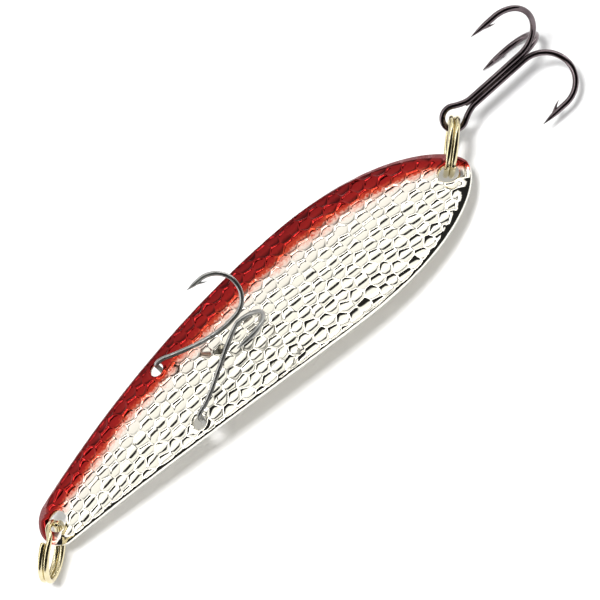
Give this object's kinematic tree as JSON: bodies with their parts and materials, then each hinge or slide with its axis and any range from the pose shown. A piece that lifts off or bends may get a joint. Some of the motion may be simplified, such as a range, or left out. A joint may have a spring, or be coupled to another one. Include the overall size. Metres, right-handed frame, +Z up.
{
  "type": "spoon lure",
  "caption": "Casting spoon with a domed hammered blade, split rings at both ends, a treble hook at the tail and a double hook threaded through the belly.",
  "frame": {"origin": "centre of the front split ring, where the line is clipped on", "axes": "+X from the front to the tail along the blade, +Y across the blade towards the painted edge, +Z up out of the domed face"},
  "size_m": [0.1501, 0.0342, 0.0257],
  "materials": {
    "blade_plate": "hammered and plated, red lacquer along one edge",
    "ring_plate": "pale gold plated",
    "treble_nickel": "black nickel, glossy",
    "braze_metal": "plated over",
    "belly_wire": "satin tinned"
  },
  "bodies": {
    "blade": {"spoon_blade": "blade_plate"},
    "front_ring": {"front_split_ring": "ring_plate"},
    "tail_ring": {"tail_split_ring": "ring_plate"},
    "treble": {"treble_double_hook": "treble_nickel", "treble_third_hook": "treble_nickel", "treble_braze": "braze_metal"},
    "belly_hook": {"belly_double_hook": "belly_wire"}
  },
  "joints": [
    {"name": "front_ring_swing", "type": "hinge", "parent": "blade", "child": "front_ring", "pos_m": [0.0023, 0.00207, 0], "axis": [-0.6432, 0.7144, 0.2756], "range_deg": [-45, 45]},
    {"name": "tail_ring_swing", "type": "hinge", "parent": "blade", "child": "tail_ring", "pos_m": [0.11268, 0.00645, 0.00004], "axis": [-0.6789, 0.6113, 0.4067], "range_deg": [-45, 45]},
    {"name": "treble_swing", "type": "hinge", "parent": "tail_ring", "child": "treble", "pos_m": [0.11922, 0.01223, 0.00228], "axis": [0, -0.7547, 0.6561], "range_deg": [-30, 90]},
    {"name": "belly_hook_swing", "type": "hinge", "parent": "blade", "child": "belly_hook", "pos_m": [0.04061, 0.00415, 0.00372], "axis": [0, -1, 0], "range_deg": [0, 30]}
  ]
}
